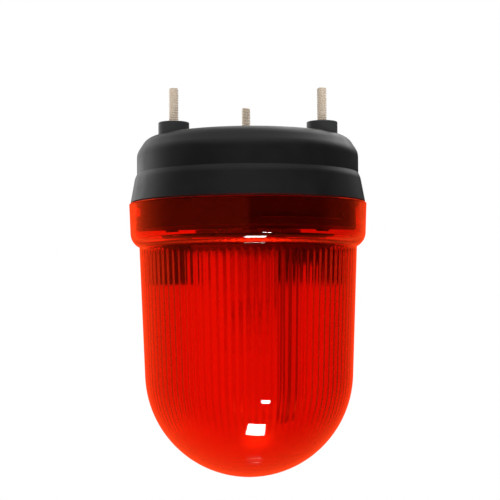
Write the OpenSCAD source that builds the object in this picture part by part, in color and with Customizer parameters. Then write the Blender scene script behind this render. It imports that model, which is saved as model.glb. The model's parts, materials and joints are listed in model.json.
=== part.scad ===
// Rotating warning beacon that hangs from a surface by three studs, lens downwards.
// Z points up, out of the mounting face. The origin is the middle of the three boss faces.

/* [Mounting] */
// Thread diameter of the studs
stud_d = 4; // [3:0.5:5]
// Length of stud that stands clear of the boss faces
stud_out = 14; // [8:1:30]
// Distance from the base's upright band in to the stud centres
stud_inset = 11.7; // [10:0.1:14]
// Diameter of the moulded boss round each stud
boss_d = 12.6; // [11:0.2:14]
// Height of the bosses over the flat top
boss_h = 4.5; // [3:0.1:7]
// Bore of the grommet where the supply cable comes in
cable_d = 6; // [4:0.5:8]

/* [Base] */
// Height of the shoulder
shoulder_h = 6.8; // [6:0.1:9]
// Slope of the shoulder, degrees from upright
shoulder_slope = 33; // [25:1:45]
// Radius between the flat top and the shoulder
shoulder_round = 6; // [3:0.5:7]
// Radius of the soft crease between the shoulder and the band
crease_round = 6; // [2:0.5:7]
// Height of the upright band under the shoulder
band_h = 8.6; // [6:0.1:14]
// Step out of the small ledge under the band
ledge_out = 0.9; // [0.5:0.1:1.5]
// Height of the small ledge
ledge_h = 2; // [1.6:0.1:3]
// Radius between the ledge and the skirt
ledge_round = 6; // [2:0.5:7]
// Height of the flared skirt
skirt_h = 9.9; // [8:0.1:16]
// Flare of the skirt, from its upper to its lower edge
skirt_flare = 1.8; // [1:0.1:3]
// Thickness of the top plate
top_wall = 2.5; // [2:0.1:4]
// Length of the spigot that goes up inside the lens
spigot_h = 11.3; // [11:0.1:15]
// Wall of the spigot
spigot_wall = 1.8; // [1.5:0.1:2.5]

/* [Lens] */
// Outside diameter of the lens flange
lens_d = 100; // [94:1:120]
// Wall of the lens
lens_wall = 2.5; // [2:0.1:3.2]
// Height of the upright part of the flange
flange_h = 12.3; // [12:0.1:20]
// Radius that turns the flange in to the body
flange_round = 6.6; // [5.5:0.1:8]
// Step in from the flange to the body
flange_step = 4.2; // [3:0.1:5]
// Length of the tapered body below the flange's round
body_h = 60; // [50:0.5:80]
// Draft of the flange and the tapered body, degrees
body_draft = 2.25; // [1:0.25:4]
// Number of upright flutes moulded inside the lens
flute_count = 90; // [60:1:120]
// Depth of a flute
flute_depth = 0.3; // [0.2:0.05:0.6]
// Width of a bayonet lug on the spigot, degrees
lug_span = 55; // [45:1:58]
// Depth of the bayonet lugs
lug_out = 1.6; // [1.2:0.1:2]
// Thickness of the bayonet lugs
lug_t = 2.4; // [1.8:0.1:3]
// Height of the joint line between base and lens, where the seal shows
joint_gap = 0.5; // [0.3:0.1:1]

/* [Drive] */
// Module of the two gears
gear_m = 0.6; // [0.5:0.1:0.6]
// Teeth on the turntable gear
gear_teeth = 72; // [60:4:80]
// Teeth on the motor pinion
pinion_teeth = 18; // [18:2:24]
// Face width of the turntable gear
gear_w = 3; // [2.5:0.5:4]
// Diameter of the motor can
motor_d = 22; // [18:0.5:24]
// Length of the motor can
motor_h = 18; // [14:0.5:20]
// Diameter of the fixed sleeve that the turntable runs on
sleeve_d = 16; // [16:0.5:18]

/* [Reflector] */
// Direction that the reflector faces at rest, degrees from the X axis
heading = 200; // [0:5:355]
// Focal length of the curved reflector
focal = 15; // [13:0.5:17]
// Half of the reflector's width
reflector_half_w = 30; // [24:0.5:32]
// Height of the reflector
reflector_h = 70.5; // [50:0.5:71]
// Thickness of the reflector sheet
reflector_t = 0.8; // [0.6:0.1:1.2]
// Radius of the carrier plate under the reflector
carrier_r = 36.5; // [35:0.5:37]
// Height of the wall behind the reflector and of the counterweight
saddle_h = 15.5; // [10:0.5:17]
// Height of the two ribs that the reflector is screwed to
rib_h = 7; // [5:0.5:9]

/* [Hidden] */
$fn = 96;

// Clearances
run_gap = 0.05;
press_gap = 0.02;
part_gap = 0.3;

// Radii of the outside, from the lens flange inwards
lens_r = lens_d / 2;
rim_r = lens_r - 0.6;
skirt_r = rim_r - skirt_flare;
band_r = skirt_r - ledge_out;
stud_r = band_r - stud_inset;
shank_r = stud_d / 2 + 0.3;

// Radii of the bayonet and the inside of the base
bore_r = lens_r - lens_wall;
lug_r = bore_r - 0.4;
spigot_r = lug_r - lug_out;
inner_r = spigot_r - spigot_wall;
post_r = inner_r - 5;

// Heights of the outside, from the boss faces down
z_top = -boss_h;
z_crease = z_top - shoulder_h;
z_ledge = z_crease - band_h;
z_skirt = z_ledge - ledge_h;
z_rim = z_skirt - skirt_h;
z_roof = z_top - top_wall;
z_spigot = z_rim - spigot_h;
z_lens = z_rim - joint_gap;
z_turn = z_lens - flange_h;
z_tan = z_turn - body_h;
lug_foot = z_spigot + 0.1;
lug_head = lug_foot + lug_t;

// The body's taper and the dome that runs on from it
body_r = lens_r - flange_step;
turn_r = flange_centre(body_draft);
z_body = z_turn - sqrt(pow(flange_round, 2) - pow(body_r - turn_r, 2));
tan_r = body_r - (z_body - z_tan) * tan(body_draft);
dome_r = tan_r / cos(body_draft);
z_dome = z_tan + dome_r * sin(body_draft);

// Heights of the works, from the end of the spigot down
chassis_t = 3;
z_chassis = z_spigot + chassis_t;
z_gear = z_spigot - 1.3;
z_carrier = z_gear - gear_w - 1;
z_plate = z_carrier - 2.2;
z_saddle = z_plate - saddle_h;
z_mirror = z_plate - reflector_h;
sleeve_r = sleeve_d / 2;
sleeve_bore = sleeve_r - 1.4;
bush_r = sleeve_r + 1.5;
hub_r = bush_r + 2.5;
z_washer = z_plate - 0.3;
z_clip = z_washer - 0.6;
z_sleeve = z_clip - 2.4;
z_shell = z_sleeve - 19;
z_bulb = z_sleeve - 7.5;
z_glass = z_bulb - 15.5;

// Gear sizes
gear_r = gear_m * gear_teeth / 2;
pinion_r = gear_m * pinion_teeth / 2;
centres = gear_r + pinion_r;
motor_at = [0, centres, 0];
motor_r = motor_d / 2;
z_motor = z_chassis + motor_h;

// Where the terminal block stands
block_at = [-20, -15, z_chassis];
block = [16, 12, 11];
lead_r = 0.8;

// How far the saddle's two ribs stand from the middle
rib_at = 6;

steel = [0.72, 0.72, 0.7];
brass = [0.8, 0.66, 0.36];
black = [0.07, 0.07, 0.07];

// Radius to the centre of the round under the flange, where the flange's wall has this draft
function flange_centre(draft) =
  lens_r - (flange_h + flange_round * sin(draft)) * tan(draft) - flange_round * cos(draft);

module at_studs() {
  for (a = [90, 210, 330]) rotate([0, 0, a]) translate([stud_r, 0, 0]) children();
}

module at_posts() {
  for (a = [30, 150, 270]) rotate([0, 0, a]) translate([post_r, 0, 0]) children();
}

module at_carrier_screws() {
  for (a = [0, 120, 240]) rotate([0, 0, heading + a]) translate([hub_r + 3.5, 0, 0]) children();
}

module at_weight_screws() {
  for (a = [-12, 12]) rotate([0, 0, heading + a]) translate([carrier_r - 2.75, 0, 0]) children();
}

module ring(r_out, r_in, z0, z1) {
  difference() {
    translate([0, 0, min(z0, z1)]) cylinder(h = abs(z1 - z0), r = r_out);
    translate([0, 0, min(z0, z1) - 1]) cylinder(h = abs(z1 - z0) + 2, r = r_in);
  }
}

module sector(r_out, r_in, z0, z1, from, span) {
  rotate([0, 0, from]) rotate_extrude(angle = span) translate([r_in, min(z0, z1)])
    square([r_out - r_in, abs(z1 - z0)]);
}

// Round rod from z0 to z1
module rod(r, z0, z1) {
  translate([0, 0, min(z0, z1)]) cylinder(h = abs(z1 - z0), r = r);
}

// Pan head screw: the head's seat is at z0, the shank runs up and the head hangs below
module screw(r, z0, up, head_r, head_h) {
  difference() {
    union() {
      rod(r, z0, z0 + up);
      rod(head_r, z0 - head_h, z0);
    }
    for (a = [0, 90]) rotate([0, 0, a]) translate([-head_r * 0.6, -head_r * 0.14, z0 - head_h - 1])
      cube([head_r * 1.2, head_r * 0.28, 1 + head_h * 0.5]);
  }
}

// Insulated wire swept along a list of points
function smooth(p, n) = [
  for (i = [0 : len(p) - 2], k = [0 : n - 1])
    let (t = k / n, a = p[max(i - 1, 0)], b = p[i], c = p[i + 1], d = p[min(i + 2, len(p) - 1)])
      0.5 * (2 * b + (c - a) * t + (2 * a - 5 * b + 4 * c - d) * t * t
        + (3 * b - a - 3 * c + d) * t * t * t),
  p[len(p) - 1]
];
function unit(v) = v / norm(v);

function carry(d, acc) = len(acc) == len(d) ? acc
  : let (u = acc[len(acc) - 1], t = d[len(acc)]) carry(d, concat(acc, [unit(u - (u * t) * t)]));

module wire(points, r) {
  q = smooth(points, 4);
  n = len(q);
  s = 8;
  dirs = [for (i = [0 : n - 1]) unit(q[min(i + 1, n - 1)] - q[max(i - 1, 0)])];
  side = carry(dirs, [unit(cross(dirs[0], [0.3, 0.5, 0.8]))]);
  rings = [
    for (i = [0 : n - 1], k = [0 : s - 1])
      q[i] + r * (cos(360 * k / s) * side[i] + sin(360 * k / s) * cross(dirs[i], side[i]))
  ];
  walls = [
    for (i = [0 : n - 2], k = [0 : s - 1])
      [i * s + k, i * s + (k + 1) % s, (i + 1) * s + (k + 1) % s, (i + 1) * s + k]
  ];
  polyhedron(
    points = rings,
    faces = concat(walls, [[for (k = [s - 1 : -1 : 0]) k]], [[for (k = [0 : s - 1]) (n - 1) * s + k]]),
    convexity = 4
  );
}

// Involute gear outline
function swing(rb, r) = let (t = sqrt(max(0, pow(r / rb, 2) - 1))) t * 180 / PI - atan(t);
function tooth(m, z, slack) =
  let (
    rp = m * z / 2,
    rb = rp * cos(20),
    root = rp - 1.25 * m,
    half = 90 / z - slack / rp * 180 / PI + swing(rb, rp),
    rs = [root, max(root, rb) + 0.02, rp - 0.35 * m, rp + 0.1 * m, rp + 0.55 * m, rp + m]
  ) [for (r = rs) [r, half - swing(rb, max(r, rb))]];
function gear_points(m, z, slack) =
  let (t = tooth(m, z, slack), n = len(t)) [
    for (i = [0 : z - 1], k = [0 : 2 * n - 1])
      let (p = k < n ? t[k] : t[2 * n - 1 - k], a = 360 * i / z + (k < n ? -p[1] : p[1]))
        [p[0] * cos(a), p[0] * sin(a)]
  ];

// Round of radius r on the corner b between a and c: its two ends, and its centre between them
function round_at(a, b, c, r) =
  let (u = unit(a - b), v = unit(c - b), half = acos(u * v) / 2)
    [b + r / tan(half) * u, b + r / sin(half) * unit(u + v), b + r / tan(half) * v];

module round_fill(p, b, r) {
  intersection() {
    translate(p[1]) circle(r);
    polygon([p[0], b, p[2], p[1]]);
  }
}

// Base moulding: shoulder, soft crease, band, ledge, flared skirt and spigot
module base_outline() {
  brow = [band_r - shoulder_h * tan(shoulder_slope), z_top];
  crease = [band_r, z_crease];
  nook = [band_r, z_ledge];
  ledge = [skirt_r, z_skirt];
  rim = [rim_r, z_rim + 0.15];
  p = round_at([0, z_top], brow, crease, shoulder_round);
  q = round_at(brow, crease, nook, crease_round);
  s = round_at(nook, ledge, rim, ledge_round);
  polygon([
    [0, z_rim], [rim_r - 0.15, z_rim], rim, s[2], s[0], nook, q[2], q[0], p[2], p[0], [0, z_top]
  ]);
  round_fill(p, brow, shoulder_round);
  round_fill(q, crease, crease_round);
  round_fill(s, ledge, ledge_round);
  translate([0, z_spigot]) square([spigot_r, z_rim - z_spigot + 1]);
}

module base_housing() {
  color(black) difference() {
    union() {
      difference() {
        rotate_extrude() base_outline();
        // Hollow, with a rounded inside shoulder
        rotate_extrude() {
          translate([0, z_spigot - 1]) square([inner_r, z_crease - z_spigot + 1]);
          translate([0, z_crease - 0.5]) square([inner_r - 4, z_roof - z_crease + 0.5]);
          intersection() {
            translate([inner_r - 4, z_crease]) circle(4);
            square([200, 200], center = true);
            translate([inner_r - 4, z_crease]) square([4, min(4, z_roof - z_crease)]);
          }
        }
      }
      // Bosses outside, with rounded edges, and their seats inside
      at_studs() rotate_extrude() {
        translate([0, z_roof - 1]) square([boss_d / 2, boss_h + top_wall + 0.55]);
        translate([0, z_roof - 1]) square([boss_d / 2 - 0.4, 1 - z_roof]);
        translate([boss_d / 2 - 0.4, -0.4]) circle(0.4);
      }
      at_studs() rod(stud_d / 2 + 4, z_roof - 4.5, z_roof + 1);
      // Posts for the chassis, each with a rib to the wall
      at_posts() rod(4, z_chassis, z_roof + 0.5);
      at_posts() translate([0, -1, z_chassis + 4])
        cube([inner_r - post_r + 0.5, 2, z_roof - z_chassis - 7]);
      // Bayonet lugs on the spigot, each with a stop at one end
      for (a = [0, 120, 240]) rotate([0, 0, a - 90]) {
        sector(lug_r, spigot_r - 0.5, lug_foot, lug_head, 0, lug_span);
        sector(lug_r - 0.1, spigot_r - 0.6, lug_foot + 0.5, lug_head + lug_t, lug_span - 4.5, 4);
      }
    }
    // Stud holes and pockets for the stud heads
    at_studs() rod(shank_r + 0.1, z_roof - 6, 1);
    at_studs() translate([0, 0, z_roof - 6]) cylinder(h = 4.5, r = stud_d * 1.01 + 0.15, $fn = 6);
    at_posts() rod(1.5 + press_gap, z_chassis - 1, z_chassis + 9);
    // Hole for the cable grommet
    rod(cable_d / 2 + 2, z_roof - 1, z_top + 1);
    // Groove for the lens seal
    ring(lens_r - 1.2, lens_r - 3, z_rim - 1, z_rim + 1.2);
  }
}

// Studs with a plain shank in the boss and a hexagon head in its seat
module mounting_studs() {
  color(steel) at_studs() {
    rod(stud_d / 2, 0, stud_out - 0.5);
    rod(shank_r, z_roof - 2, 0);
    translate([0, 0, stud_out - 0.5]) cylinder(h = 0.5, r1 = stud_d / 2, r2 = stud_d / 2 - 0.5);
    translate([0, 0, z_roof - 1.6 - stud_d * 0.7]) cylinder(h = stud_d * 0.7, r = stud_d * 1.01, $fn = 6);
  }
}

module cable_grommet() {
  r = cable_d / 2;
  color([0.05, 0.05, 0.05]) difference() {
    union() {
      rod(r + 1.9, z_roof - 1.5, z_top + 1.5);
      rod(r + 4, z_top + 0.02, z_top + 1.5);
      rod(r + 4, z_roof - 1.5, z_roof - 0.02);
    }
    rod(r, z_roof - 3, z_top + 3);
  }
}

module lens_seal() {
  color([0.04, 0.04, 0.04]) ring(lens_r - 1.3, lens_r - 2.9, z_lens + 0.1, z_rim + 1.1);
}

// Plate that closes the base and carries the works
module chassis() {
  color([0.1, 0.1, 0.1]) difference() {
    union() {
      rod(inner_r - part_gap, z_spigot, z_chassis);
      ring(inner_r - part_gap, inner_r - part_gap - 2, z_chassis - 1, z_chassis + 3);
      ring(sleeve_r + 6, sleeve_r + 4, z_chassis - 1, z_chassis + 3);
      translate(motor_at) ring(motor_r + 1.8, motor_r + 0.2, z_chassis - 1, z_chassis + 6);
    }
    rod(sleeve_r + press_gap, z_spigot - 1, z_chassis + 1);
    rod(sleeve_r + 3.2, z_chassis + 0.001, z_chassis + 9);
    translate(motor_at) rod(motor_r + 0.2, z_chassis, z_chassis + 9);
    translate(motor_at) rod(3.2, z_spigot - 1, z_chassis + 1);
    translate(motor_at) for (s = [-1, 1]) translate([s * 8, 0, 0]) rod(1.1, z_spigot - 1, z_chassis + 1);
    at_posts() rod(1.7, z_spigot - 1, z_chassis + 1);
    at_posts() rod(4.2, z_chassis, z_chassis + 9);
    for (s = [-1, 1]) translate(block_at + [s * 5, 0, -4]) cylinder(h = 6, r = 1.5);
  }
}

module chassis_screws() {
  color([0.06, 0.06, 0.06]) at_posts() screw(1.5, z_spigot, 11, 2.9, 2.1);
}

// Motor: closed can, nylon rear cap, solder tags and face screws
module motor_can() {
  color([0.2, 0.2, 0.21]) translate(motor_at) difference() {
    union() {
      rod(motor_r, z_chassis, z_motor - 1);
      translate([0, 0, z_motor - 1]) cylinder(h = 1, r1 = motor_r, r2 = motor_r - 1);
      rod(3, z_chassis - 2, z_chassis + 1);
    }
    rod(1 + run_gap, z_chassis - 3, z_chassis + 13);
    for (s = [-1, 1]) translate([s * 8, 0, 0]) rod(1 + press_gap, z_chassis - 1, z_chassis + 3.5);
  }
}

module motor_end_cap() {
  color([0.9, 0.88, 0.82]) translate(motor_at) difference() {
    union() {
      rod(motor_r - 1.4, z_motor, z_motor + 2);
      rod(3, z_motor + 1, z_motor + 3.4);
    }
    for (s = [-1, 1]) translate([s * 6 - 1.2, -0.35, z_motor + 0.5]) cube([2.4, 0.7, 4]);
  }
}

module motor_terminals() {
  color(brass) translate(motor_at) for (s = [-1, 1]) difference() {
    translate([s * 6 - 1.1, -0.25, z_motor + 0.6]) cube([2.2, 0.5, 5.4]);
    translate([s * 6, 2, z_motor + 4.6]) rotate([90, 0, 0]) cylinder(h = 4, r = 0.6);
  }
}

module motor_screws() {
  color(steel) translate(motor_at) for (s = [-1, 1]) translate([s * 8, 0, 0])
    screw(1, z_spigot, 6, 1.7, 1);
}

// Terminal block that takes the supply cable
module terminal_block() {
  color([0.88, 0.87, 0.82]) difference() {
    union() {
      translate(block_at + [-block[0] / 2, -block[1] / 2, 0]) cube(block);
      for (s = [-1, 1]) translate(block_at + [s * 5, 0, -2.5]) cylinder(h = 4, r = 1.5 - press_gap);
    }
    // Wells for the clamp screws and ways in for the wires
    for (s = [-1, 1]) translate(block_at + [s * 4, 0, 6]) cylinder(h = 9, r = 2.4);
    for (s = [-1, 1]) translate(block_at + [s * 4, 0, 4]) rotate([90, 0, 0])
      cylinder(h = 40, r = 1.7, center = true);
    translate(block_at + [-0.6, -10, 7]) cube([1.2, 20, 9]);
  }
}

module terminal_screws() {
  color(brass) for (s = [-1, 1]) translate(block_at + [s * 4, 0, 6.1]) difference() {
    cylinder(h = 3, r = 2.3);
    translate([-3, -0.35, 2]) cube([6, 0.7, 3]);
  }
}

// Fixed sleeve: the turntable runs on its outside, the lamp wires pass down its bore
module bearing_sleeve() {
  color(steel) difference() {
    union() {
      rod(sleeve_r, z_sleeve, z_chassis + 1);
      rod(sleeve_r + 3, z_chassis, z_chassis + 1.5);
    }
    rod(sleeve_bore, z_sleeve - 1, z_chassis + 9);
    ring(sleeve_r + 1, sleeve_r - 0.6, z_clip - 0.8, z_clip);
  }
}

module thrust_washer() {
  color(brass) ring(bush_r + 1.4, sleeve_r + 0.1, z_washer - 0.5, z_washer);
}

module retaining_clip() {
  color(steel) difference() {
    ring(sleeve_r + 1.8, sleeve_r - 0.5, z_clip - 0.72, z_clip - 0.06);
    translate([0, -4, z_clip - 3]) cube([30, 8, 6]);
  }
}

// Bayonet lamp holder with a slot for each pin of the bulb
module lamp_socket() {
  r_in = 7.5 + 0.25;
  color([0.75, 0.74, 0.7]) difference() {
    union() {
      rod(sleeve_bore - press_gap, z_sleeve - 0.5, z_sleeve + 6);
      rod(r_in + 0.7, z_shell, z_sleeve - 0.02);
    }
    rod(sleeve_bore - 1.2, z_sleeve - 3, z_sleeve + 9);
    rod(r_in, z_shell - 1, z_sleeve - 1.5);
    for (a = [0, 180]) rotate([0, 0, a]) {
      translate([4, -1.25, z_shell - 1]) cube([8, 2.5, z_bulb - 3.5 - z_shell]);
      sector(12, 4, z_bulb - 7, z_bulb - 4.5, 0, 26);
    }
  }
}

module socket_insulator() {
  color([0.42, 0.24, 0.14]) ring(7.65, 1.6, z_bulb + 1.5, z_bulb + 4);
}

module contact_pin() {
  color(brass) {
    rod(1.5, z_bulb + 0.55, z_bulb + 5);
    rod(2.6, z_bulb + 4.05, z_bulb + 5);
  }
}

module bulb_cap() {
  color(brass) {
    rod(7.5, z_glass, z_bulb);
    rod(2.4, z_bulb - 0.5, z_bulb + 0.5);
    for (a = [14, 194]) rotate([0, 0, a]) translate([6, 0, z_bulb - 5.8]) rotate([0, 90, 0])
      cylinder(h = 2.9, r = 1, $fn = 24);
  }
}

module globe(r, neck) {
  translate([0, 0, z_glass - 9]) sphere(r);
  rod(neck, z_glass - 9, z_glass - 0.02);
}

module bulb_glass() {
  color([0.92, 0.95, 0.96, 0.4]) difference() {
    globe(9.5, 6.6);
    globe(8.8, 5.9);
    rod(5.9, z_glass - 1, z_glass + 1);
  }
}

module bulb_filament() {
  z_coil = z_glass - 9.5;
  color([0.6, 0.58, 0.55]) {
    rod(2, z_glass - 3, z_glass - 0.02);
    for (s = [-1, 1]) translate([s * 1.2, 0, 0]) rod(0.3, z_coil - 0.3, z_glass - 2);
    translate([-3, 0, z_coil]) rotate([0, 90, 0]) cylinder(h = 6, r = 0.5, $fn = 24);
  }
}

// Insulated leads from the terminal block to the lamp holder and to the motor
module lamp_lead_live() {
  color([0.7, 0.08, 0.06]) wire([
    block_at + [4, 4, 4], block_at + [4, 9, 4], [-9, 3, z_chassis + 8], [-3, 2, z_chassis + 5],
    [-2.2, 0, z_chassis - 6], [-2, 0, z_sleeve + 3], [-1, 0, z_bulb + 9], [-0.5, 0, z_bulb + 5.4]
  ], lead_r);
}

module lamp_lead_return() {
  color([0.08, 0.08, 0.08]) wire([
    block_at + [-4, 4, 4], block_at + [-4, 9, 4], [-14, 10, z_chassis + 10], [-2, 8, z_chassis + 10],
    [3, 3, z_chassis + 4], [3, 0, z_chassis - 6], [3.2, 0, z_sleeve + 5],
    [sleeve_bore - 2.05, 0, z_sleeve + 1]
  ], lead_r);
}

module motor_lead_live() {
  color([0.7, 0.08, 0.06]) wire([
    block_at + [4, -4, 4], block_at + [4, -9, 4], [2, -26, z_chassis + 8], [20, -14, z_chassis + 16],
    [24, 8, z_chassis + 22], [15, centres - 4, z_motor + 7], [6, centres - 1.15, z_motor + 4.6]
  ], lead_r);
}

module motor_lead_return() {
  color([0.08, 0.08, 0.08]) wire([
    block_at + [-4, -4, 4], block_at + [-4, -9, 4], [-33, -20, z_chassis + 8], [-35, -2, z_chassis + 14],
    [-24, 14, z_chassis + 22], [-15, centres - 4, z_motor + 7], [-6, centres - 1.15, z_motor + 4.6]
  ], lead_r);
}

// Turntable: nylon gear on a bush
module turntable_gear() {
  color([0.86, 0.84, 0.78]) difference() {
    union() {
      translate([0, 0, z_gear - gear_w]) linear_extrude(gear_w) rotate(90)
        polygon(gear_points(gear_m, gear_teeth, 0.06));
      rod(hub_r, z_plate, z_gear);
    }
    rod(bush_r + press_gap, z_plate - 1, z_gear + 1);
    at_carrier_screws() rod(1.25 + press_gap, z_plate, z_gear + 1);
  }
}

module turntable_bush() {
  color(brass) ring(bush_r, sleeve_r + run_gap, z_plate - 0.2, z_gear + 0.4);
}

module carrier_arc(r_out, r_in, z0, z1, mid, half) {
  sector(r_out, r_in, z0, z1, mid - half, 2 * half);
}

// Back face of the reflector, pushed out by a gap, seen from above and facing the X axis
function curve(push) = [
  for (i = [-40 : 40])
    let (s = reflector_half_w * i / 40, n = unit([1, -s / (2 * focal)]))
      [s * s / (4 * focal) - focal, s] - push * n
];

// Black carrier: plate with a saddle of two ribs and a curved wall behind the reflector
module reflector_carrier() {
  color(black) difference() {
    union() {
      ring(carrier_r, hub_r + part_gap, z_plate, z_carrier);
      ring(hub_r + 7, hub_r + part_gap, z_carrier - 1, z_gear - gear_w);
      rotate([0, 0, heading]) {
        carrier_arc(carrier_r - 2.5, carrier_r - 5, z_saddle, z_plate + 1, 180, 24);
        for (s = [-1, 1]) saddle_rib(s);
      }
    }
    rotate([0, 0, heading]) for (s = [-1, 1]) at_rib(s) rotate([0, -90, 0]) rod(1 + press_gap, -1, 12);
    at_weight_screws() rod(1.35, z_plate - 1, z_carrier + 1);
    at_carrier_screws() rod(1.4, z_plate - 1, z_gear);
  }
}

// Middle of a rib's end, square to the back of the reflector there
module at_rib(s) {
  turn = atan(rib_at / (2 * focal));
  translate([pow(rib_at, 2) / (4 * focal) - focal, s * rib_at, z_plate - rib_h / 2])
    rotate([0, 0, -s * turn]) translate([-reflector_t - 0.05, 0, 0]) children();
}

module saddle_rib(s) {
  reach = carrier_r - focal - 5.5;
  at_rib(s) translate([-reach, -2, -rib_h / 2]) cube([reach, 4, rib_h + 1]);
}

module carrier_screws() {
  color(steel) at_carrier_screws() screw(1.25, z_plate, z_gear - z_plate - 0.3, 2.3, 1.5);
}

// Steel counterweight opposite the saddle
module counterweight() {
  color(black) difference() {
    rotate([0, 0, heading]) carrier_arc(carrier_r, carrier_r - 5.5, z_saddle, z_plate - 0.02, 0, 21);
    at_weight_screws() rod(1.25 + press_gap, z_plate - 6, z_plate + 1);
  }
}

module counterweight_screws() {
  color(steel) at_weight_screws() translate([0, 0, z_carrier]) mirror([0, 0, 1])
    screw(1.25, 0, 8, 2.2, 0.7);
}

// Bright metal sheet bent to a parabola round the lamp
module reflector() {
  front = curve(0);
  back = curve(reflector_t);
  color([0.9, 0.9, 0.92]) rotate([0, 0, heading]) difference() {
    translate([0, 0, z_mirror]) linear_extrude(reflector_h - 0.04)
      polygon(concat(front, [for (i = [len(back) - 1 : -1 : 0]) back[i]]));
    for (s = [-1, 1]) at_rib(s) rotate([0, 90, 0]) rod(1.2, -3, 3);
  }
}

module reflector_screws() {
  color(steel) rotate([0, 0, heading]) for (s = [-1, 1])
    at_rib(s) translate([reflector_t + 0.2, 0, 0]) rotate([0, -90, 0]) screw(1, 0, 9, 1.9, 1.2);
}

// Motor shaft and pinion
module motor_shaft() {
  color(steel) translate(motor_at) rod(1, z_gear - gear_w - 0.2, z_chassis + 12.5);
}

module motor_pinion() {
  color(brass) translate(motor_at) difference() {
    translate([0, 0, z_gear - gear_w]) linear_extrude(gear_w + 0.3)
      rotate(270 + 180 / pinion_teeth) polygon(gear_points(gear_m, pinion_teeth, 0.06));
    rod(1 + press_gap, z_gear - gear_w - 1, z_gear + 2);
  }
}

// Outline of the lens, drawn in by a wall, with this draft on the flange
module lens_outline(g, draft) {
  c = flange_centre(draft);
  r = flange_round - g;
  slope = tan(body_draft);
  r_top = body_r - g / cos(body_draft) + (z_turn - z_body) * slope;
  polygon([
    [0, z_turn - r], [c, z_turn - r], [c + r * cos(draft), z_turn - r * sin(draft)],
    [lens_r - g, z_lens + g], [0, z_lens + g]
  ]);
  intersection() {
    translate([c, z_turn]) circle(r);
    translate([c, z_turn - flange_round]) square([flange_round, flange_round - r * sin(draft)]);
  }
  polygon([
    [0, z_turn], [r_top, z_turn],
    [(dome_r - g) * cos(body_draft), z_dome - (dome_r - g) * sin(body_draft)],
    [0, z_dome - (dome_r - g) * sin(body_draft)]
  ]);
  intersection() {
    translate([0, z_dome]) circle(dome_r - g + 0.02);
    translate([0, z_dome - dome_r - 1]) square([dome_r + 1, dome_r + 1]);
  }
}

// Rings of the hollow below the flange: radius, height and share of the radius that a flute stands in
function flute_rings() =
  let (
    r = dome_r - lens_wall,
    z_in = z_turn - flange_round + lens_wall + 0.6,
    r_in = body_r - lens_wall / cos(body_draft) + (z_in - z_body) * tan(body_draft),
    depth = flute_depth / (body_r - lens_wall)
  ) concat(
    [[r_in, z_in, depth]],
    [
      for (a = [body_draft, 8, 14, 20, 26, 32, 40, 50, 60, 70, 80])
        [r * cos(a), z_dome - r * sin(a), depth * max(0, min(1, (32 - a) / 18))]
    ]
  );

// Hollow of the body and the dome, with upright flutes that fade out over the dome
module flute_hollow() {
  rings = flute_rings();
  n = 2 * flute_count;
  m = len(rings);
  wall_points = [
    for (p = rings, k = [0 : n - 1])
      let (q = p[0] * (1 - (k % 2) * p[2])) [q * cos(360 * k / n), q * sin(360 * k / n), p[1]]
  ];
  walls = [
    for (i = [0 : m - 2], k = [0 : n - 1])
      [i * n + (k + 1) % n, (i + 1) * n + (k + 1) % n, (i + 1) * n + k, i * n + k]
  ];
  pole = [for (k = [0 : n - 1]) [(m - 1) * n + (k + 1) % n, m * n, (m - 1) * n + k]];
  polyhedron(
    points = concat(wall_points, [[0, 0, z_dome - dome_r + lens_wall]]),
    faces = concat([[for (k = [0 : n - 1]) k]], walls, pole),
    convexity = 6
  );
}

// Red lens, fluted inside, with bayonet lugs in its flange
module lens() {
  lug_in = lug_span - 10;
  color([0.85, 0.05, 0.03, 0.6]) {
    difference() {
      rotate_extrude() lens_outline(0, body_draft);
      rotate_extrude() intersection() {
        lens_outline(lens_wall, 0);
        translate([0, z_turn - flange_round + lens_wall]) square([lens_r, flange_h + flange_round]);
      }
      flute_hollow();
    }
    for (a = [0, 120, 240]) rotate([0, 0, a - 90])
      sector(bore_r + 0.5, spigot_r + 0.4, lug_head + 0.15, lug_head + lug_t, 5.6, lug_in - 1);
  }
}

base_housing();
mounting_studs();
cable_grommet();
lens_seal();
chassis();
chassis_screws();
motor_can();
motor_end_cap();
motor_terminals();
motor_screws();
terminal_block();
terminal_screws();
bearing_sleeve();
thrust_washer();
retaining_clip();
lamp_socket();
socket_insulator();
contact_pin();
bulb_cap();
bulb_glass();
bulb_filament();
lamp_lead_live();
lamp_lead_return();
motor_lead_live();
motor_lead_return();
turntable_gear();
turntable_bush();
reflector_carrier();
carrier_screws();
counterweight();
counterweight_screws();
reflector();
reflector_screws();
motor_shaft();
motor_pinion();
lens();
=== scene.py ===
import json
import math

import bmesh
import bpy
from mathutils import Matrix, Vector


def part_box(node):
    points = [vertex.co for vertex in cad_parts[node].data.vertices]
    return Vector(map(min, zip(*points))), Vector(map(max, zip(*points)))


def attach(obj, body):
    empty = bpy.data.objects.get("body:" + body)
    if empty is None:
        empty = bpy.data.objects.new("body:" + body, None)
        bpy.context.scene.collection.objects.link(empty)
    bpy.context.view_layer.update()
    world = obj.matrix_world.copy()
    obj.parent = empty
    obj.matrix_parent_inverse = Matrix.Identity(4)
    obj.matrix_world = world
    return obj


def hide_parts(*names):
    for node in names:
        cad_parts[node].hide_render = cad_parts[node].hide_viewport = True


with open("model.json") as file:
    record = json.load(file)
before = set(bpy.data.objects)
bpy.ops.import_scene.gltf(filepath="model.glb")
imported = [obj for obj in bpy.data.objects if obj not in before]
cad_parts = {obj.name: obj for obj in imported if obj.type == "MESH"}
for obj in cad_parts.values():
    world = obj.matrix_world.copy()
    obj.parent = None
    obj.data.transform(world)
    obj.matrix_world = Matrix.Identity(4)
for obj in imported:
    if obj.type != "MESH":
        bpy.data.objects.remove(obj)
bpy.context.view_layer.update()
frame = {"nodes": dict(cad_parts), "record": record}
nodes = frame["nodes"]
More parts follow.
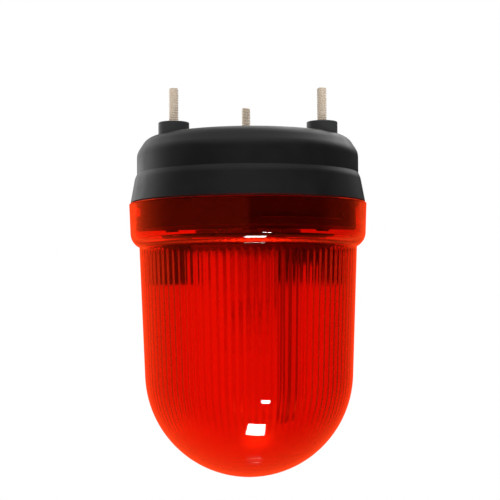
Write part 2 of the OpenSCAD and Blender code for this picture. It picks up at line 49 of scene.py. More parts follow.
mm = 0.001
mergeGap = 2e-6  # points nearer than this are merged
sameSpot = 1e-7  # and nearer than this they count as one
pureWhite = (1, 1, 1, 1)
print("frame loaded:", len(nodes), "nodes")


# small modelling helpers

def deselectAll():
    if bpy.context.object and bpy.context.object.mode != "OBJECT":
        bpy.ops.object.mode_set(mode="OBJECT")
    bpy.ops.object.select_all(action="DESELECT")


def selectVerts(obj, test):
    bm = bmesh.from_edit_mesh(obj.data)
    for part in (bm.verts, bm.edges, bm.faces):
        for item in part:
            item.select = False
    hits = [v for v in bm.verts if test(v.co)]
    for v in hits:
        v.select = True
    bm.select_flush(True)
    bmesh.update_edit_mesh(obj.data)
    return len(hits)


def startChain(name, points, closed):
    # a plane shrunk to one vertex, then extruded from point to point in the XZ plane
    deselectAll()
    bpy.ops.mesh.primitive_plane_add(size=mm, location=(0, 0, 0))
    obj = bpy.context.object
    obj.name = name
    bpy.ops.object.mode_set(mode="EDIT")
    bpy.ops.mesh.select_mode(type="VERT")
    bpy.ops.mesh.merge(type="CENTER")
    bpy.ops.transform.translate(value=(points[0][0] * mm, 0, points[0][1] * mm))
    for old, new in zip(points, points[1:]):
        step = ((new[0] - old[0]) * mm, 0, (new[1] - old[1]) * mm)
        bpy.ops.mesh.extrude_region_move(TRANSFORM_OT_translate={"value": step})
    if closed:
        ends = [Vector((p[0] * mm, 0, p[1] * mm)) for p in (points[0], points[-1])]
        selectVerts(obj, lambda co: min((co - e).length for e in ends) < sameSpot)
        bpy.ops.mesh.edge_face_add()
    bpy.ops.mesh.select_all(action="SELECT")
    return obj


def arc(cx, cz, r, a0, a1, steps):
    turn = [math.radians(a0 + (a1 - a0) * i / steps) for i in range(steps + 1)]
    return [(cx + r * math.cos(t), cz + r * math.sin(t)) for t in turn]


def spinRound(steps, angle, copies=False):
    # about the part's own axis
    bpy.ops.mesh.spin(steps=steps, dupli=copies, angle=math.radians(angle),
                      center=(0, 0, 0), axis=(0, 0, 1))


def copyRound(count):
    spinRound(count - 1, 360 - 360 / count, True)


def mergeAll():
    bpy.ops.mesh.select_all(action="SELECT")
    bpy.ops.mesh.remove_doubles(threshold=mergeGap)


def cleanUp(smoothAngle):
    mergeAll()
    bpy.ops.mesh.normals_make_consistent(inside=False)
    bpy.ops.object.mode_set(mode="OBJECT")
    bpy.ops.object.shade_smooth_by_angle(angle=math.radians(smoothAngle))


def joinTo(target, *others):
    deselectAll()
    for obj in (*others, target):
        obj.select_set(True)
    bpy.context.view_layer.objects.active = target
    bpy.ops.object.join()
    return target


# camera, at the photograph's angle

view = dict(
    distance=476.8, azimuth=-0.9, height=-67.1, aim=(0.75, 0, -51.7), roll=-0.43,
    focal=81.2, sensor=36, nearest=10,
)


def addCamera():
    turn = math.radians(view["azimuth"])
    far = view["distance"]
    eye = Vector((math.sin(turn) * far, -math.cos(turn) * far, view["height"])) * mm
    look = Vector(view["aim"]) * mm - eye
    roll = Matrix.Rotation(math.radians(view["roll"]), 4, "Z")
    spin = look.to_track_quat("-Z", "Y").to_matrix().to_4x4() @ roll
    data = bpy.data.cameras.new("camera")
    data.lens = view["focal"]
    data.sensor_width = view["sensor"]
    data.clip_start = view["nearest"] * mm
    camera = bpy.data.objects.new("camera", data)
    camera.matrix_world = Matrix.Translation(eye) @ spin
    bpy.context.collection.objects.link(camera)
    bpy.context.scene.camera = camera


addCamera()
print("camera placed")


# world, lamps and floor

studio = dict(
    # soft reflections: a dim room, the sweep behind with its flag, a light over it, one on top
    room=0.03, back=(-0.09, 0.996, 0.0), backLevel=1.5, flag=(-0.55, -0.05),
    over=(0.35, 0.60, 0.72), overLevel=1.9, overEdge=(0.78, 0.98),
    top=(0, -0.25, 0.97), topLevel=0.6, topEdge=(0.5, 1.0),
    # sharp reflections: a red glow from behind and below
    glow=(1.0, 0.06, 0.012, 1), glowLevel=2.0, glowFrom=(-0.2, 0.85, -0.5), glowEdge=(0.0, 0.95),
    # light on plain surfaces, then what shows through the lens to the right, behind and in front
    ambient=0.9, dimEdge=(-0.05, 0.05), dim=0.78, frontEdge=(-0.1, 0.3), frontDim=0.35,
    # lamps, in metres and watts
    keyAt=(0.062, -0.36, -0.70), keySize=(0.20, 0.17), keyPower=2.6,
    spotAt=(0.235, -0.74, -0.505), spotSize=(0.13, 0.05), spotPower=0.8,
    lampsAim=(0, 0, -0.09), bounces=24,
    floorAt=-1.25, floorSize=1.5, floorCells=4, floorColor=(0.86, 0.86, 0.85, 1),
)


def rayMask(tree, *kinds):
    # 1 where the ray is any of the named kinds
    path = tree.nodes.new("ShaderNodeLightPath")
    total = path.outputs[kinds[0]]
    for kind in kinds[1:]:
        most = tree.nodes.new("ShaderNodeMath")
        most.operation = "MAXIMUM"
        tree.links.new(total, most.inputs[0])
        tree.links.new(path.outputs[kind], most.inputs[1])
        total = most.outputs[0]
    return total


def makeWorld():
    # soft reflections see a white sweep behind, kept to the left by a dark flag,
    # with a light over it and one on top
    # sharp ones, in the lens, see the lamps and, behind, the lens's own red glow on a dark room
    # what shows through the lens is white, a little less so to the right and dim in front to the right
    world = bpy.data.worlds.new("studio")
    bpy.context.scene.world = world
    world.use_nodes = True
    tree = world.node_tree
    tree.nodes.clear()
    link = tree.links.new
    coord = tree.nodes.new("ShaderNodeTexCoord")

    def towards(direction):
        dot = tree.nodes.new("ShaderNodeVectorMath")
        dot.operation = "DOT_PRODUCT"
        dot.inputs[1].default_value = Vector(direction).normalized()
        link(coord.outputs["Generated"], dot.inputs[0])
        return dot.outputs["Value"]

    def ramp(value, edges, levels, soft):
        level = tree.nodes.new("ShaderNodeMapRange")
        level.interpolation_type = "SMOOTHSTEP" if soft else "LINEAR"
        level.inputs["From Min"].default_value, level.inputs["From Max"].default_value = edges
        level.inputs["To Min"].default_value, level.inputs["To Max"].default_value = levels
        link(value, level.inputs["Value"])
        return level.outputs["Result"]

    def combine(kind, first, second):
        made = tree.nodes.new("ShaderNodeMath")
        made.operation = kind
        link(first, made.inputs[0])
        link(second, made.inputs[1])
        return made.outputs[0]

    def background(strength, color=pureWhite):
        made = tree.nodes.new("ShaderNodeBackground")
        made.inputs["Color"].default_value = color
        made.inputs["Strength"].default_value = strength
        return made

    def choose(mask, first, second):
        made = tree.nodes.new("ShaderNodeMixShader")
        link(mask, made.inputs[0])
        link(first.outputs[0], made.inputs[1])
        link(second.outputs[0], made.inputs[2])
        return made

    right, front = towards((1, 0, 0)), towards((0, -1, 0))
    sweep = ramp(towards(studio["back"]), (0, 1), (0, studio["backLevel"]), False)
    flag = ramp(right, studio["flag"], (1, 0), True)
    overLevels = (studio["room"], studio["room"] + studio["overLevel"])
    over = ramp(towards(studio["over"]), studio["overEdge"], overLevels, True)
    top = ramp(towards(studio["top"]), studio["topEdge"], (0, studio["topLevel"]), True)
    soft = combine("ADD", combine("ADD", combine("MULTIPLY", sweep, flag), over), top)
    room = background(1)
    link(soft, room.inputs["Strength"])
    glow = background(1, studio["glow"])
    glowing = ramp(towards(studio["glowFrom"]), studio["glowEdge"], (0, studio["glowLevel"]), True)
    link(glowing, glow.inputs["Strength"])
    glossy = choose(rayMask(tree, "Is Singular Ray"), room, glow)
    around = choose(rayMask(tree, "Is Glossy Ray"), background(studio["ambient"]), glossy)
    through = background(1)
    toRight = ramp(right, studio["dimEdge"], (0, 1), True)
    losses = (studio["dim"] - 1, studio["frontDim"] - 1)
    toFront = ramp(front, studio["frontEdge"], losses, True)
    lost = combine("MULTIPLY", toRight, toFront)
    link(ramp(lost, (-1, 0), (0, 1), False), through.inputs["Strength"])
    inside = choose(rayMask(tree, "Is Transmission Ray"), around, through)
    seen = choose(rayMask(tree, "Is Camera Ray"), inside, background(1))
    out = tree.nodes.new("ShaderNodeOutputWorld")
    link(seen.outputs[0], out.inputs["Surface"])


def addLamp(name, at, size, power):
    data = bpy.data.lights.new(name, "AREA")
    data.shape = "RECTANGLE"
    data.size, data.size_y = size
    data.energy = power
    lamp = bpy.data.objects.new(name, data)
    lamp.location = at
    aim = Vector(studio["lampsAim"]) - Vector(at)
    lamp.rotation_euler = aim.to_track_quat("-Z", "Y").to_euler()
    lamp.visible_camera = False
    lamp.visible_transmission = False
    bpy.context.collection.objects.link(lamp)


def addFloor():
    deselectAll()
    cells = studio["floorCells"]
    bpy.ops.mesh.primitive_grid_add(x_subdivisions=cells, y_subdivisions=cells, size=studio["floorSize"],
                                    location=(0, 0, studio["floorAt"]))
    floor = bpy.context.object
    floor.name = "floor"
    mat = bpy.data.materials.new("paleFloor")
    mat.use_nodes = True
    tree = mat.node_tree
    tree.nodes.clear()
    plain = tree.nodes.new("ShaderNodeBsdfDiffuse")
    plain.inputs["Color"].default_value = studio["floorColor"]
    bright = tree.nodes.new("ShaderNodeEmission")
    bright.inputs["Color"].default_value = pureWhite
    mix = tree.nodes.new("ShaderNodeMixShader")
    out = tree.nodes.new("ShaderNodeOutputMaterial")
    tree.links.new(rayMask(tree, "Is Camera Ray", "Is Transmission Ray"), mix.inputs[0])
    tree.links.new(plain.outputs[0], mix.inputs[1])
    tree.links.new(bright.outputs[0], mix.inputs[2])
    tree.links.new(mix.outputs[0], out.inputs["Surface"])
    floor.data.materials.append(mat)
    floor.visible_glossy = False


makeWorld()
addLamp("keyLamp", studio["keyAt"], studio["keySize"], studio["keyPower"])
addLamp("spotLamp", studio["spotAt"], studio["spotSize"], studio["spotPower"])
addFloor()
bpy.context.scene.view_settings.view_transform = "Standard"
# light runs round inside the lens wall by many reflections
bpy.context.scene.cycles.max_bounces = studio["bounces"]
bpy.context.scene.cycles.glossy_bounces = studio["bounces"]
bpy.context.scene.cycles.transmission_bounces = studio["bounces"]
print("studio ready")


# shader group used by all the finishes

def newGroup(name, inputs, outputs):
    group = bpy.data.node_groups.new(name, "ShaderNodeTree")
    for socket, kind, value in inputs:
        made = group.interface.new_socket(socket, in_out="INPUT", socket_type=kind)
        if value is not None:
            made.default_value = value
    for socket, kind in outputs:
        group.interface.new_socket(socket, in_out="OUTPUT", socket_type=kind)
    return group, group.nodes.new("NodeGroupInput"), group.nodes.new("NodeGroupOutput")


grainLook = dict(cloudDetail=5, fineDetail=3, cloudRange=(0.3, 0.7))


def makeSurfaceGroup():
    # cloudy colour, roughness that wanders, and a fine grain for the bump
    group, inp, out = newGroup(
        "surfaceGrain",
        [("Vector", "NodeSocketVector", None),
         ("Color", "NodeSocketColor", None), ("Worn", "NodeSocketColor", None),
         ("Scale", "NodeSocketFloat", 300.0), ("Fine", "NodeSocketFloat", 3000.0),
         ("Smooth", "NodeSocketFloat", 0.3), ("Rough", "NodeSocketFloat", 0.45)],
        [("Color", "NodeSocketColor"), ("Roughness", "NodeSocketFloat"), ("Height", "NodeSocketFloat")])
    link = group.links.new
    cloud = group.nodes.new("ShaderNodeTexNoise")
    cloud.inputs["Detail"].default_value = grainLook["cloudDetail"]
    fine = group.nodes.new("ShaderNodeTexNoise")
    fine.inputs["Detail"].default_value = grainLook["fineDetail"]
    tint = group.nodes.new("ShaderNodeMix")
    tint.data_type = "RGBA"
    spread = group.nodes.new("ShaderNodeMapRange")
    low, high = grainLook["cloudRange"]
    spread.inputs["From Min"].default_value = low
    spread.inputs["From Max"].default_value = high
    link(inp.outputs["Vector"], cloud.inputs["Vector"])
    link(inp.outputs["Scale"], cloud.inputs["Scale"])
    link(inp.outputs["Vector"], fine.inputs["Vector"])
    link(inp.outputs["Fine"], fine.inputs["Scale"])
    link(cloud.outputs["Fac"], spread.inputs["Value"])
    link(inp.outputs["Smooth"], spread.inputs["To Min"])
    link(inp.outputs["Rough"], spread.inputs["To Max"])
    link(cloud.outputs["Fac"], tint.inputs["Factor"])
    link(inp.outputs["Color"], tint.inputs["A"])
    link(inp.outputs["Worn"], tint.inputs["B"])
    link(tint.outputs["Result"], out.inputs["Color"])
    link(spread.outputs["Result"], out.inputs["Roughness"])
    link(fine.outputs["Fac"], out.inputs["Height"])
    return group


surfaceGrain = makeSurfaceGroup()


def newMaterial(name):
    mat = bpy.data.materials.new(name)
    mat.use_nodes = True
    tree = mat.node_tree
    return mat, tree, tree.nodes["Principled BSDF"]


# what a finish has unless it says otherwise
usualFinish = dict(stretch=(1, 1, 1), scale=250, fine=2600, bump=0.06, bumpDepth=0.1, metal=0)


def grainedMaterial(name, finish):
    finish = {**usualFinish, **finish}
    mat, tree, shader = newMaterial(name)
    coord = tree.nodes.new("ShaderNodeTexCoord")
    stretch = tree.nodes.new("ShaderNodeMapping")
    stretch.inputs["Scale"].default_value = finish["stretch"]
    grain = tree.nodes.new("ShaderNodeGroup")
    grain.node_tree = surfaceGrain
    grain.inputs["Color"].default_value = (*finish["color"], 1)
    grain.inputs["Worn"].default_value = (*finish["worn"], 1)
    grain.inputs["Scale"].default_value = finish["scale"]
    grain.inputs["Fine"].default_value = finish["fine"]
    grain.inputs["Smooth"].default_value, grain.inputs["Rough"].default_value = finish["rough"]
    bump = tree.nodes.new("ShaderNodeBump")
    bump.inputs["Strength"].default_value = finish["bump"]
    bump.inputs["Distance"].default_value = finish["bumpDepth"] * mm
    link = tree.links.new
    link(coord.outputs["Object"], stretch.inputs["Vector"])
    link(stretch.outputs["Vector"], grain.inputs["Vector"])
    link(grain.outputs["Color"], shader.inputs["Base Color"])
    link(grain.outputs["Roughness"], shader.inputs["Roughness"])
    link(grain.outputs["Height"], bump.inputs["Height"])
    link(bump.outputs["Normal"], shader.inputs["Normal"])
    shader.inputs["Metallic"].default_value = finish["metal"]
    return mat


def stepped(tree, value, edges, levels):
    # from the first level to the second between two edges in mm
    low, high = edges
    step = tree.nodes.new("ShaderNodeMapRange")
    step.inputs["From Min"].default_value = low * mm
    step.inputs["From Max"].default_value = high * mm
    step.inputs["To Min"].default_value, step.inputs["To Max"].default_value = levels
    tree.links.new(value, step.inputs["Value"])
    return step.outputs["Result"]


def mixInto(tree, shader, socket, other, mask):
    # the socket keeps what feeds it where the mask is 0, and takes the other value where it is 1
    mix = tree.nodes.new("ShaderNodeMix")
    mix.data_type = "RGBA" if socket == "Base Color" else "FLOAT"
    mix.inputs["B"].default_value = other
    tree.links.new(mask, mix.inputs["Factor"])
    tree.links.new(shader.inputs[socket].links[0].from_socket, mix.inputs["A"])
    tree.links.new(mix.outputs["Result"], shader.inputs[socket])


base = dict(
    joint=-32.1, jointEdge=0.3, spigotRough=0.95,
    bossCircle=35, bossAt=(90, 210, 330), bossR=6.3, bossEdge=(0.03, 0.1),
    bossColor=(0.040, 0.041, 0.043, 1),
)


def finishBase(mat):
    # no shine on the spigot inside the lens, and the bosses, cast rougher, are a little greyer
    tree = mat.node_tree
    shader = tree.nodes["Principled BSDF"]
    coord = tree.nodes.new("ShaderNodeTexCoord")
    axes = tree.nodes.new("ShaderNodeSeparateXYZ")
    tree.links.new(coord.outputs["Object"], axes.inputs[0])
    edges = (base["joint"] - base["jointEdge"], base["joint"] + base["jointEdge"])
    mixInto(tree, shader, "Roughness", base["spigotRough"], stepped(tree, axes.outputs["Z"], edges, (1, 0)))
    flat = tree.nodes.new("ShaderNodeVectorMath")
    flat.operation = "MULTIPLY"
    flat.inputs[1].default_value = (1, 1, 0)
    tree.links.new(coord.outputs["Object"], flat.inputs[0])
    nearest = None
    for at in base["bossAt"]:
        turn = math.radians(at)
        far = tree.nodes.new("ShaderNodeVectorMath")
        far.operation = "DISTANCE"
        far.inputs[1].default_value = Vector((math.cos(turn), math.sin(turn), 0)) * base["bossCircle"] * mm
        tree.links.new(flat.outputs[0], far.inputs[0])
        least = tree.nodes.new("ShaderNodeMath")
        least.operation = "MINIMUM"
        least.inputs[1].default_value = 1  # for the first boss, a metre off
        tree.links.new(far.outputs["Value"], least.inputs[0])
        if nearest:
            tree.links.new(nearest, least.inputs[1])
        nearest = least.outputs[0]
    rim = [base["bossR"] + edge for edge in base["bossEdge"]]
    mixInto(tree, shader, "Base Color", base["bossColor"], stepped(tree, nearest, rim, (1, 0)))


mirror = dict(heading=200, edge=0.05, back=(0.45, 0.45, 0.46, 1), backRough=0.45)


def finishMirror(mat):
    # only the hollow side is polished
    tree = mat.node_tree
    shader = tree.nodes["Principled BSDF"]
    coord = tree.nodes.new("ShaderNodeTexCoord")
    facing = tree.nodes.new("ShaderNodeVectorMath")
    facing.operation = "DOT_PRODUCT"
    turn = math.radians(mirror["heading"])
    facing.inputs[1].default_value = (math.cos(turn), math.sin(turn), 0)
    tree.links.new(coord.outputs["Normal"], facing.inputs[0])
    behind = tree.nodes.new("ShaderNodeMath")
    behind.operation = "LESS_THAN"
    behind.inputs[1].default_value = mirror["edge"]
    tree.links.new(facing.outputs["Value"], behind.inputs[0])
    mixInto(tree, shader, "Base Color", mirror["back"], behind.outputs[0])
    mixInto(tree, shader, "Roughness", mirror["backRough"], behind.outputs[0])


finishes = dict(
    base_black=dict(
        color=(0.004, 0.004, 0.004), worn=(0.006, 0.006, 0.0065), rough=(0.34, 0.46), scale=120, bump=0.08),
    stud_steel=dict(
        color=(0.95, 0.84, 0.72), worn=(0.84, 0.68, 0.51), rough=(0.34, 0.5), metal=0.35, scale=420),
    rubber_black=dict(color=(0.012, 0.012, 0.012), worn=(0.022, 0.022, 0.022), rough=(0.6, 0.8)),
    chassis_black=dict(
        color=(0.016, 0.016, 0.016), worn=(0.026, 0.026, 0.027), rough=(0.5, 0.65), bump=0.12),
    zinc_steel=dict(color=(0.70, 0.71, 0.70), worn=(0.55, 0.55, 0.53), rough=(0.24, 0.4), metal=1),
    motor_steel=dict(
        color=(0.30, 0.30, 0.31), worn=(0.22, 0.22, 0.23), rough=(0.3, 0.45), metal=1, stretch=(1, 1, 0.1)),
    nylon_white=dict(color=(0.72, 0.70, 0.63), worn=(0.64, 0.60, 0.50), rough=(0.38, 0.55)),
    brass=dict(color=(0.78, 0.58, 0.27), worn=(0.62, 0.42, 0.17), rough=(0.2, 0.36), metal=1),
    sleeve_steel=dict(
        color=(0.68, 0.68, 0.68), worn=(0.56, 0.56, 0.56), rough=(0.2, 0.34), metal=1, stretch=(1, 1, 6)),
    nickel=dict(color=(0.86, 0.84, 0.80), worn=(0.78, 0.75, 0.70), rough=(0.3, 0.42), metal=0.4),
    phenolic=dict(color=(0.16, 0.07, 0.03), worn=(0.24, 0.11, 0.05), rough=(0.35, 0.5)),
    filament=dict(color=(0.5, 0.48, 0.45), worn=(0.38, 0.36, 0.34), rough=(0.3, 0.45), metal=1),
    lead_red=dict(color=(0.46, 0.02, 0.015), worn=(0.36, 0.015, 0.012), rough=(0.32, 0.45)),
    lead_black=dict(color=(0.012, 0.012, 0.012), worn=(0.02, 0.02, 0.02), rough=(0.32, 0.45)),
    black_screw=dict(color=(0.014, 0.014, 0.014), worn=(0.03, 0.03, 0.03), rough=(0.4, 0.55)),
    weight_black=dict(color=(0.014, 0.014, 0.014), worn=(0.03, 0.03, 0.03), rough=(0.35, 0.5), bump=0.15),
    reflector_bright=dict(color=(0.90, 0.90, 0.91), worn=(0.83, 0.83, 0.84), rough=(0.06, 0.14), metal=1),
)


def letLightIn(tree, shader, tint):
    # shadow rays pass straight through, so that lamps reach what is inside
    path = tree.nodes.new("ShaderNodeLightPath")
    clear = tree.nodes.new("ShaderNodeBsdfTransparent")
    clear.inputs["Color"].default_value = tint
    mix = tree.nodes.new("ShaderNodeMixShader")
    out = tree.nodes["Material Output"]
    tree.links.new(path.outputs["Is Shadow Ray"], mix.inputs[0])
    tree.links.new(shader.outputs[0], mix.inputs[1])
    tree.links.new(clear.outputs[0], mix.inputs[2])
    tree.links.new(mix.outputs[0], out.inputs["Surface"])


glass = dict(color=(0.97, 0.98, 0.98, 1), shadow=(0.96, 0.97, 0.97, 1), rough=0.01, ior=1.5)


def clearGlass():
    mat, tree, shader = newMaterial("clear_glass")
    shader.inputs["Base Color"].default_value = glass["color"]
    shader.inputs["Roughness"].default_value = glass["rough"]
    shader.inputs["IOR"].default_value = glass["ior"]
    shader.inputs["Transmission Weight"].default_value = 1
    letLightIn(tree, shader, glass["shadow"])
    return mat


lens = dict(
    # outside, from the top down: flange, drafted body, dome
    top=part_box("lens")[1].z / mm, topEdge=0.3, flangeR=50, flangeRows=(-38, -42),
    turn=-44.6, flangeRound=6.6, turnSteps=14,
    bodyR=45.8, bodyTop=-50.534, bodyRows=(-50.75, -56, -68, -80, -92), draft=2.25,
    domeR=43.709, domeZ=-102.884, domeSteps=29,
    # fine ring grooves on the dome: their radii, and the steps across one with their depth
    rings=(29.8, 27.5, 25, 21.2, 13.5), ringClear=0.8,
    ringShape=((0.08, 0), (0.03, 0), (0, 0.023), (-0.03, 0), (-0.08, 0)),
    # inside: wall, shoulder, the flange's hollow and its rim
    wall=2.5, midWall=1, wallRows=(-92, -80, -68, -58),
    shoulder=2, shoulderSteps=6, hollowSteps=7, rimRow=-38, rimEdge=0.2,
    # flutes: they fade between two angles on the dome, and close between two heights under the flange
    flutes=90, columns=8, depth=0.3, fadeFrom=14, fadeTo=32,
    fluteEnd=(-53.6, -51.4), endRows=4, endSlack=0.05,
    # bayonet lugs
    lugs=3, lugIn=45.9, lugOut=48.3, lugLow=-40.45, lugHigh=-38.2, lugFrom=5.6, lugSpan=44, lugSteps=16,
    smooth=38, lugSmooth=30,
)
lensTint = dict(
    color=(1.0, 0.055, 0.011, 1), shadow=(0.90, 0.08, 0.02, 1), ior=1.58,
    inside=(0.20, 0.26), flangeShare=0.12, grainScale=60,
    deep=(0.5, 0.1, 0.1, 1), deepDensity=44,
)


def lensRed():
    # polished outside and in the flange
    # the fluted wall inside is a little rough, and blurs what is deep within
    mat, tree, shader = newMaterial("lens_red")
    link = tree.links.new
    coord = tree.nodes.new("ShaderNodeTexCoord")
    face = tree.nodes.new("ShaderNodeNewGeometry")
    axes = tree.nodes.new("ShaderNodeSeparateXYZ")
    grain = tree.nodes.new("ShaderNodeGroup")
    grain.node_tree = surfaceGrain
    grain.inputs["Scale"].default_value = lensTint["grainScale"]
    grain.inputs["Smooth"].default_value, grain.inputs["Rough"].default_value = lensTint["inside"]
    wall = tree.nodes.new("ShaderNodeMath")
    wall.operation = "MULTIPLY"
    inside = tree.nodes.new("ShaderNodeMath")
    inside.operation = "MULTIPLY"
    link(coord.outputs["Object"], grain.inputs["Vector"])
    link(coord.outputs["Object"], axes.inputs[0])
    share = stepped(tree, axes.outputs["Z"], lens["fluteEnd"], (1, lensTint["flangeShare"]))
    link(share, wall.inputs[0])
    link(grain.outputs["Roughness"], wall.inputs[1])
    link(wall.outputs[0], inside.inputs[0])
    link(face.outputs["Backfacing"], inside.inputs[1])
    link(inside.outputs[0], shader.inputs["Roughness"])
    shader.inputs["Base Color"].default_value = lensTint["color"]
    shader.inputs["IOR"].default_value = lensTint["ior"]
    shader.inputs["Transmission Weight"].default_value = 1
    letLightIn(tree, shader, lensTint["shadow"])
    # light that runs a long way inside the wall is lost
    deep = tree.nodes.new("ShaderNodeVolumeAbsorption")
    deep.inputs["Color"].default_value = lensTint["deep"]
    deep.inputs["Density"].default_value = lensTint["deepDensity"]
    link(deep.outputs[0], tree.nodes["Material Output"].inputs["Volume"])
    return mat


materials = {slot: grainedMaterial(slot, finish) for slot, finish in finishes.items()}
finishBase(materials["base_black"])
finishMirror(materials["reflector_bright"])
materials["clear_glass"] = clearGlass()
materials["lens_red"] = lensRed()
for part in frame["record"]["subparts"]:
    mesh = nodes[part["node"]].data
    mesh.materials.clear()
    mesh.materials.append(materials[part["material_slot"]])
print("finishes made:", len(materials))


# lens: one flute is spun, shaped and copied round

def lensProfile():
    d = lens
    tilt = math.radians(d["draft"])
    slope = math.tan(tilt)
    bend, wall = d["flangeRound"], d["wall"]

    def drafted(r, top, rows):
        # a wall that is at r at its top and draws in downwards
        return [(r - (top - z) * slope, z) for z in rows]

    # the flange's outside has the body's draft, its inside is straight
    turnX = d["flangeR"] - (d["top"] - d["turn"] + bend * math.sin(tilt)) * slope - bend * math.cos(tilt)
    meet = math.degrees(math.acos((d["bodyR"] - turnX) / bend))
    outer = [(d["flangeR"] - d["topEdge"], d["top"])]
    outer += drafted(d["flangeR"], d["top"], (d["top"] - d["topEdge"], *d["flangeRows"]))
    outer += arc(turnX, d["turn"], bend, -d["draft"], -meet, d["turnSteps"])
    outer += drafted(d["bodyR"], d["bodyTop"], d["bodyRows"])
    # dome, with fine ring grooves towards the pole
    dome = arc(0, d["domeZ"], d["domeR"], -d["draft"], -90, d["domeSteps"])
    for r in d["rings"]:
        dome = [p for p in dome if abs(p[0] - r) > d["ringClear"]]
        for step, sink in d["ringShape"]:
            turn = math.acos((r + step) / d["domeR"])
            out = d["domeR"] - sink
            dome.append((out * math.cos(turn), d["domeZ"] - out * math.sin(turn)))
    outer += sorted(dome, reverse=True)
    # inside, from the pole up: dome, tapered wall, then the flange's own hollow
    innerDome = arc(0, d["domeZ"], d["domeR"] - wall, -90, -d["draft"], d["domeSteps"])
    backR = d["bodyR"] - wall / math.cos(tilt)
    low, high = d["fluteEnd"]
    ends = [low + (high - low) * i / d["endRows"] for i in range(d["endRows"] + 1)]
    wallUp = drafted(backR, d["bodyTop"], (*d["wallRows"], *ends))
    # the wall keeps its thickness round the shoulder, on a round that meets the flange's own hollow
    hollowX, hollowR = d["flangeR"] - bend, bend - wall
    roundX = backR - d["depth"] + d["shoulder"]
    roundZ = d["turn"] - math.sqrt((hollowR + d["shoulder"]) ** 2 - (roundX - hollowX) ** 2)
    leave = math.degrees(math.atan2(roundZ - d["turn"], roundX - hollowX))
    corner = arc(roundX, roundZ, d["shoulder"], 180, leave + 180, d["shoulderSteps"])
    corner += arc(hollowX, d["turn"], hollowR, leave, 0, d["hollowSteps"])[1:]
    rimR, edge = d["flangeR"] - wall, d["rimEdge"]
    rim = [(rimR, d["rimRow"]), (rimR, d["top"] - edge), (rimR + edge, d["top"])]
    return outer, innerDome + wallUp + corner + rim


def closing(z):
    # 0 where a flute is open, 1 above its end under the flange
    low, high = lens["fluteEnd"]
    t = min(1, max(0, (z / mm - low) / (high - low)))
    return t * t * (3 - 2 * t)


def fluteShare(co):
    # how much of the flute's depth a point of the inner wall takes
    if co.z > (lens["fluteEnd"][1] + lens["endSlack"]) * mm:
        return 0
    r = math.hypot(co.x, co.y)
    below = math.degrees(math.atan2(lens["domeZ"] * mm - co.z, r))
    if below < lens["fadeFrom"]:
        return 1
    return max(0, (lens["fadeTo"] - below) / (lens["fadeTo"] - lens["fadeFrom"]))


def isInner(co):
    r = math.hypot(co.x, co.y) / mm
    z = co.z / mm
    if z < lens["domeZ"]:
        return math.hypot(r, z - lens["domeZ"]) < lens["domeR"] - lens["midWall"]
    slope = math.tan(math.radians(lens["draft"]))
    return r < lens["bodyR"] - (lens["bodyTop"] - z) * slope - lens["midWall"]


def makeLens():
    outer, inner = lensProfile()
    obj = startChain("lensShell", outer + inner, True)
    columns, pitch = lens["columns"], 360 / lens["flutes"]
    spinRound(columns, pitch)
    mergeAll()
    # the columns between two valleys come inwards as a rounded rib
    sameRow, sameTurn = 2e-7, 0.02  # in metres and degrees
    bm = bmesh.from_edit_mesh(obj.data)
    fluted = [v.co for v in bm.verts if isInner(v.co) and fluteShare(v.co) > 0]
    rows = sorted({(round(math.hypot(co.x, co.y), 7), round(co.z, 7)) for co in fluted})
    for r, z in rows:
        share = fluteShare(Vector((r, 0, z)))
        for k in range(columns // 2 + 1):
            wave = (1 - math.cos(2 * math.pi * k / columns)) / 2
            rise = lens["depth"] * mm * share * (wave + (1 - wave) * closing(z))
            wanted = {round(k * pitch / columns, 3), round((columns - k) * pitch / columns, 3)}

            def onRib(co):
                if abs(co.z - z) > sameRow or abs(math.hypot(co.x, co.y) - r) > sameRow:
                    return False
                turn = abs(math.degrees(math.atan2(co.y, co.x)))
                return min(abs(turn - w) for w in wanted) < sameTurn

            if selectVerts(obj, onRib):
                s = (r - rise) / r
                bpy.ops.transform.resize(value=(s, s, 1), center_override=(0, 0, 0))
    bpy.ops.mesh.select_all(action="SELECT")
    copyRound(lens["flutes"])
    cleanUp(lens["smooth"])
    return obj


def makeLensLugs():
    d = lens
    box = [(d["lugIn"], d["lugLow"]), (d["lugOut"], d["lugLow"]),
           (d["lugOut"], d["lugHigh"]), (d["lugIn"], d["lugHigh"])]
    obj = startChain("lensLugs", box, True)
    bpy.ops.mesh.edge_face_add()
    spinRound(d["lugSteps"], d["lugSpan"])
    bpy.ops.mesh.select_all(action="SELECT")
    # the first lug starts just right of the front; with no window, rotate turns the other way
    swing = min(math.degrees(math.atan2(v.co.y, v.co.x)) for v in bmesh.from_edit_mesh(obj.data).verts)
    turn = -90 + d["lugFrom"] - swing
    bpy.ops.transform.rotate(value=-math.radians(turn), orient_axis="Z", center_override=(0, 0, 0))
    copyRound(d["lugs"])
    cleanUp(d["lugSmooth"])
    return obj


def fuse(target, other, smoothAngle):
    deselectAll()
    bpy.context.view_layer.objects.active = target
    union = target.modifiers.new("fuse", "BOOLEAN")
    union.operation = "UNION"
    union.solver = "MANIFOLD"
    union.object = other
    bpy.ops.object.modifier_apply(modifier="fuse")
    bpy.data.objects.remove(other)
    # the new edges, round the lugs, are sharp
    target.select_set(True)
    bpy.ops.object.shade_smooth_by_angle(angle=math.radians(smoothAngle))
    return target


lensShell = fuse(makeLens(), makeLensLugs(), lens["smooth"])
lensShell.data.materials.clear()
lensShell.data.materials.append(materials["lens_red"])
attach(lensShell, "lens")
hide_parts("lens")
print("lens made:", len(lensShell.data.polygons), "faces")


# studs: a rolled thread above the boss, plain shank and hexagon head below it

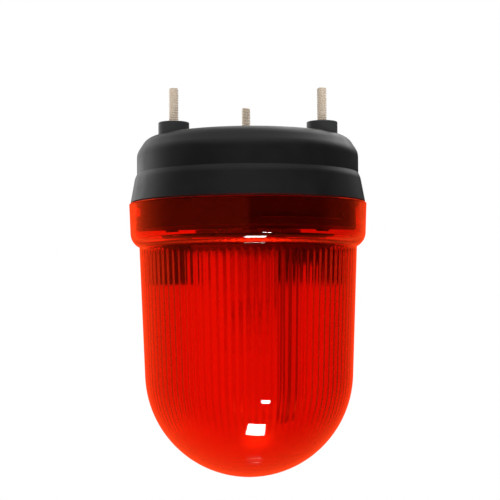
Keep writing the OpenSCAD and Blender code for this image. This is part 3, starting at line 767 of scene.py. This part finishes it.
stud = dict(
    count=3, circle=35, at=90, out=14, smooth=35,
    # one turn's outline goes by radius and pitches, and starts a full pitch below the cut
    crest=1.96, root=1.76, pitch=0.7, cut=0.002, spareTurns=4, threadSteps=20,
    turnShape=(("root", -2), ("crest", -1.62), ("crest", -1.5), ("root", -1.12), ("root", -1)),
    # lead-in: how far below the tip it starts, and the share of the width left
    leadIn=((0.45, 0.93), (0.01, 0.86)),
    shank=2.3, shankEdge=0.15, shankSteps=24, axisGap=0.001,
    headR=4.04, headLow=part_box("mounting_studs")[0].z / mm, headH=2.8, headEdge=0.25,
)


def makeStuds():
    d = stud
    turn = [(d[edge], d["pitch"] * z) for edge, z in d["turnShape"]]
    thread = startChain("studs", turn, False)
    bpy.ops.object.mode_set(mode="OBJECT")
    screw = thread.modifiers.new("thread", "SCREW")
    screw.axis = "Z"
    screw.angle = math.radians(360)
    screw.screw_offset = d["pitch"] * mm
    screw.iterations = math.ceil(d["out"] / d["pitch"]) + d["spareTurns"]
    screw.steps = screw.render_steps = d["threadSteps"]
    screw.use_merge_vertices = True
    bpy.ops.object.modifier_apply(modifier="thread")
    bpy.ops.object.mode_set(mode="EDIT")
    mergeAll()
    for height, lower in ((d["cut"], True), (d["out"], False)):
        bpy.ops.mesh.select_all(action="SELECT")
        bpy.ops.mesh.bisect(plane_co=(0, 0, height * mm), plane_no=(0, 0, 1), use_fill=True,
                            threshold=sameSpot, clear_inner=lower, clear_outer=not lower)
    for below, share in d["leadIn"]:
        start = (d["out"] - below) * mm
        selectVerts(thread, lambda co: co.z > start)
        bpy.ops.transform.resize(value=(share, share, 1), center_override=(0, 0, d["out"] * mm))
    bpy.ops.object.mode_set(mode="OBJECT")
    seat = d["headLow"] + d["headH"]
    shank = startChain("studShank", [
        (d["axisGap"], 0), (d["shank"] - d["shankEdge"], 0), (d["shank"], -d["shankEdge"]),
        (d["shank"], seat), (d["axisGap"], seat)], False)
    spinRound(d["shankSteps"], 360)
    cleanUp(d["smooth"])
    deselectAll()
    bpy.ops.mesh.primitive_cylinder_add(vertices=6, radius=d["headR"] * mm, depth=d["headH"] * mm,
                                        location=(0, 0, (d["headLow"] + d["headH"] / 2) * mm))
    head = bpy.context.object
    bpy.ops.object.mode_set(mode="EDIT")
    bpy.ops.mesh.select_all(action="SELECT")
    bpy.ops.mesh.bevel(offset=d["headEdge"] * mm, segments=2, affect="EDGES")
    bpy.ops.object.mode_set(mode="OBJECT")
    bpy.ops.object.transform_apply(location=True, rotation=True, scale=True)
    joinTo(thread, shank, head)
    bpy.ops.object.mode_set(mode="EDIT")
    bpy.ops.mesh.select_all(action="SELECT")
    away, turnTo = d["circle"] * mm, math.radians(d["at"])
    bpy.ops.transform.translate(value=(away * math.cos(turnTo), away * math.sin(turnTo), 0))
    copyRound(d["count"])
    cleanUp(d["smooth"])
    return thread


studs = makeStuds()
studs.data.materials.clear()
studs.data.materials.append(materials["stud_steel"])
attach(studs, "base")
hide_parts("mounting_studs")
print("studs made:", len(studs.data.polygons), "faces")
